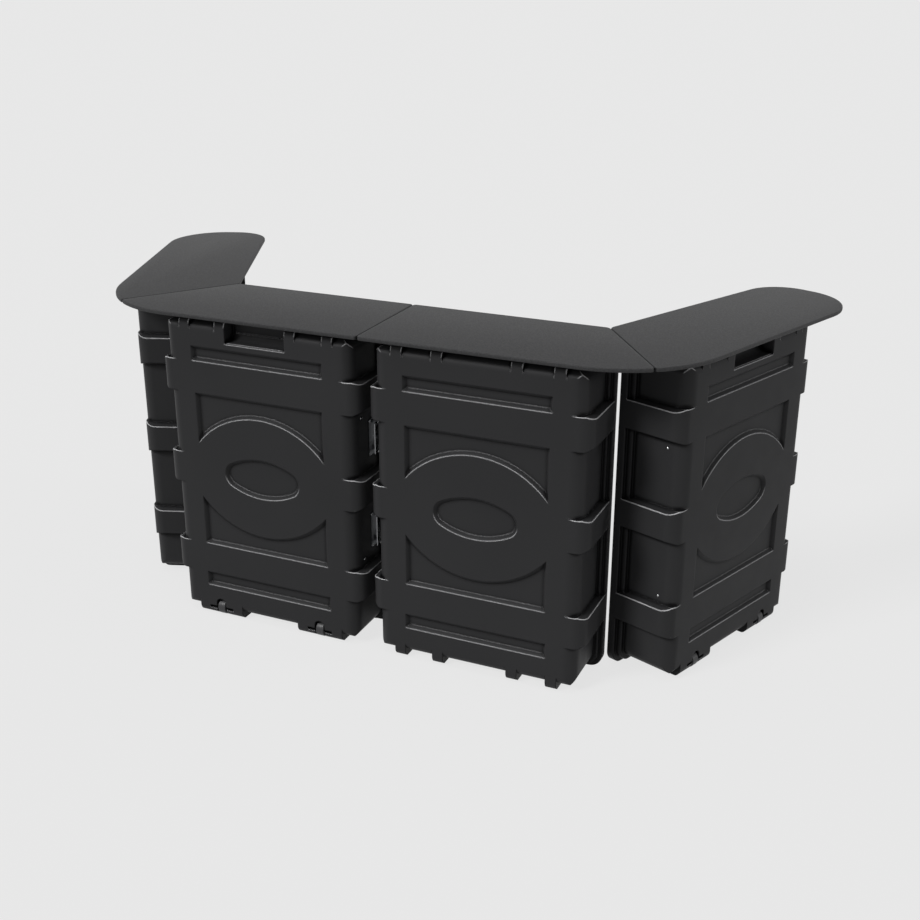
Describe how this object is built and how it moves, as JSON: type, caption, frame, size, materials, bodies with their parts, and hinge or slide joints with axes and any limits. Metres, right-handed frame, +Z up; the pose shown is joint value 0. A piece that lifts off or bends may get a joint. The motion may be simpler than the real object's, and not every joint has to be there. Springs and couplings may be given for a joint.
{
  "type": "trade show counter",
  "caption": "Shallow U-shaped counter of upright moulded half cases on wheels and ribs, each under its own lift-off top, with latches that close two halves as one shipping case.",
  "frame": {"origin": "on the floor, under the middle of the counter's plan", "axes": "+Z up; +X along the front, to the right of a customer who faces the counter; +Y from the front towards the open backs"},
  "size_m": [2.3448, 1.03, 0.993],
  "materials": {
    "shell_plastic": "fine-grained moulded polyethylene, charcoal black",
    "top_laminate": "board with a fine-grained charcoal laminate",
    "cleat_wood": "bare plywood",
    "latch_chrome": "bright chrome plating",
    "plate_steel": "bright zinc-plated sheet steel",
    "rivet_steel": "bright steel",
    "pin_steel": "drawn steel",
    "rail_aluminium": "mill finish",
    "hub_plastic": "moulded nylon",
    "tyre_rubber": "matte rubber"
  },
  "bodies": {
    "cases": {"shell_1": "shell_plastic", "shell_2": "shell_plastic", "shell_3": "shell_plastic", "shell_4": "shell_plastic", "keeper_1a": "plate_steel", "keeper_1b": "plate_steel", "keeper_rivets_1": "rivet_steel", "keeper_3a": "plate_steel", "keeper_3b": "plate_steel", "keeper_rivets_3": "rivet_steel", "latch_rivets_2": "rivet_steel", "rail_2a": "rail_aluminium", "rail_2b": "rail_aluminium", "rail_rivets_2": "rivet_steel", "axle_2a": "pin_steel", "latch_plate_2a": "plate_steel", "latch_pins_2a": "pin_steel", "axle_2b": "pin_steel", "latch_plate_2b": "plate_steel", "latch_pins_2b": "pin_steel", "latch_rivets_4": "rivet_steel", "rail_4a": "rail_aluminium", "rail_4b": "rail_aluminium", "rail_rivets_4": "rivet_steel", "axle_4a": "pin_steel", "latch_plate_4a": "plate_steel", "latch_pins_4a": "pin_steel", "axle_4b": "pin_steel", "latch_plate_4b": "plate_steel", "latch_pins_4b": "pin_steel"},
    "top_1": {"top_1": "top_laminate", "cleats_1": "cleat_wood", "cleat_screws_1": "pin_steel"},
    "top_2": {"top_2": "top_laminate", "cleats_2": "cleat_wood", "cleat_screws_2": "pin_steel"},
    "top_3": {"top_3": "top_laminate", "cleats_3": "cleat_wood", "cleat_screws_3": "pin_steel"},
    "top_4": {"top_4": "top_laminate", "cleats_4": "cleat_wood", "cleat_screws_4": "pin_steel"},
    "wheel_2a": {"hub_2a": "hub_plastic", "tyre_2a": "tyre_rubber"},
    "lever_2a": {"latch_lever_2a": "latch_chrome"},
    "bail_2a": {"latch_bail_2a": "latch_chrome"},
    "wheel_2b": {"hub_2b": "hub_plastic", "tyre_2b": "tyre_rubber"},
    "lever_2b": {"latch_lever_2b": "latch_chrome"},
    "bail_2b": {"latch_bail_2b": "latch_chrome"},
    "wheel_4a": {"hub_4a": "hub_plastic", "tyre_4a": "tyre_rubber"},
    "lever_4a": {"latch_lever_4a": "latch_chrome"},
    "bail_4a": {"latch_bail_4a": "latch_chrome"},
    "wheel_4b": {"hub_4b": "hub_plastic", "tyre_4b": "tyre_rubber"},
    "lever_4b": {"latch_lever_4b": "latch_chrome"},
    "bail_4b": {"latch_bail_4b": "latch_chrome"}
  },
  "joints": [
    {"name": "top_1_lift", "type": "slide", "parent": "cases", "child": "top_1", "axis": [0, 0, 1], "range_m": [0, 0.06]},
    {"name": "top_2_lift", "type": "slide", "parent": "cases", "child": "top_2", "axis": [0, 0, 1], "range_m": [0, 0.06]},
    {"name": "top_3_lift", "type": "slide", "parent": "cases", "child": "top_3", "axis": [0, 0, 1], "range_m": [0, 0.06]},
    {"name": "top_4_lift", "type": "slide", "parent": "cases", "child": "top_4", "axis": [0, 0, 1], "range_m": [0, 0.06]},
    {"name": "wheel_2a_spin", "type": "hinge", "parent": "cases", "child": "wheel_2a", "pos_m": [-0.523, -0.46498, 0.0265], "axis": [1, 0, 0], "continuous": true},
    {"name": "lever_2a_turn", "type": "hinge", "parent": "cases", "child": "lever_2a", "pos_m": [-0.022, -0.33998, 0.6455], "axis": [0, 0, 1], "range_deg": [0, 100]},
    {"name": "bail_2a_turn", "type": "hinge", "parent": "lever_2a", "child": "bail_2a", "pos_m": [-0.027, -0.35398, 0.6455], "axis": [0, 0, 1], "range_deg": [-97, 0]},
    {"name": "wheel_2b_spin", "type": "hinge", "parent": "cases", "child": "wheel_2b", "pos_m": [-0.168, -0.46498, 0.0265], "axis": [1, 0, 0], "continuous": true},
    {"name": "lever_2b_turn", "type": "hinge", "parent": "cases", "child": "lever_2b", "pos_m": [-0.022, -0.33998, 0.3485], "axis": [0, 0, 1], "range_deg": [0, 100]},
    {"name": "bail_2b_turn", "type": "hinge", "parent": "lever_2b", "child": "bail_2b", "pos_m": [-0.027, -0.35398, 0.3485], "axis": [0, 0, 1], "range_deg": [-97, 0]},
    {"name": "wheel_4a_spin", "type": "hinge", "parent": "cases", "child": "wheel_4a", "pos_m": [0.91074, -0.18762, 0.0265], "axis": [0.3502, 0.9367, 0], "continuous": true},
    {"name": "lever_4a_turn", "type": "hinge", "parent": "cases", "child": "lever_4a", "pos_m": [0.96911, 0.32543, 0.6455], "axis": [0, 0, 1], "range_deg": [0, 100]},
    {"name": "bail_4a_turn", "type": "hinge", "parent": "lever_4a", "child": "bail_4a", "pos_m": [0.98047, 0.31584, 0.6455], "axis": [0, 0, 1], "range_deg": [-97, 0]},
    {"name": "wheel_4b_spin", "type": "hinge", "parent": "cases", "child": "wheel_4b", "pos_m": [1.03506, 0.1449, 0.0265], "axis": [0.3502, 0.9367, 0], "continuous": true},
    {"name": "lever_4b_turn", "type": "hinge", "parent": "cases", "child": "lever_4b", "pos_m": [0.96911, 0.32543, 0.3485], "axis": [0, 0, 1], "range_deg": [0, 100]},
    {"name": "bail_4b_turn", "type": "hinge", "parent": "lever_4b", "child": "bail_4b", "pos_m": [0.98047, 0.31584, 0.3485], "axis": [0, 0, 1], "range_deg": [-97, 0]}
  ],
  "couplings": [
    {"joint": "bail_2a_turn", "follows": "lever_2a_turn", "ratio": -0.97},
    {"joint": "bail_2b_turn", "follows": "lever_2b_turn", "ratio": -0.97},
    {"joint": "bail_4a_turn", "follows": "lever_4a_turn", "ratio": -0.97},
    {"joint": "bail_4b_turn", "follows": "lever_4b_turn", "ratio": -0.97}
  ]
}
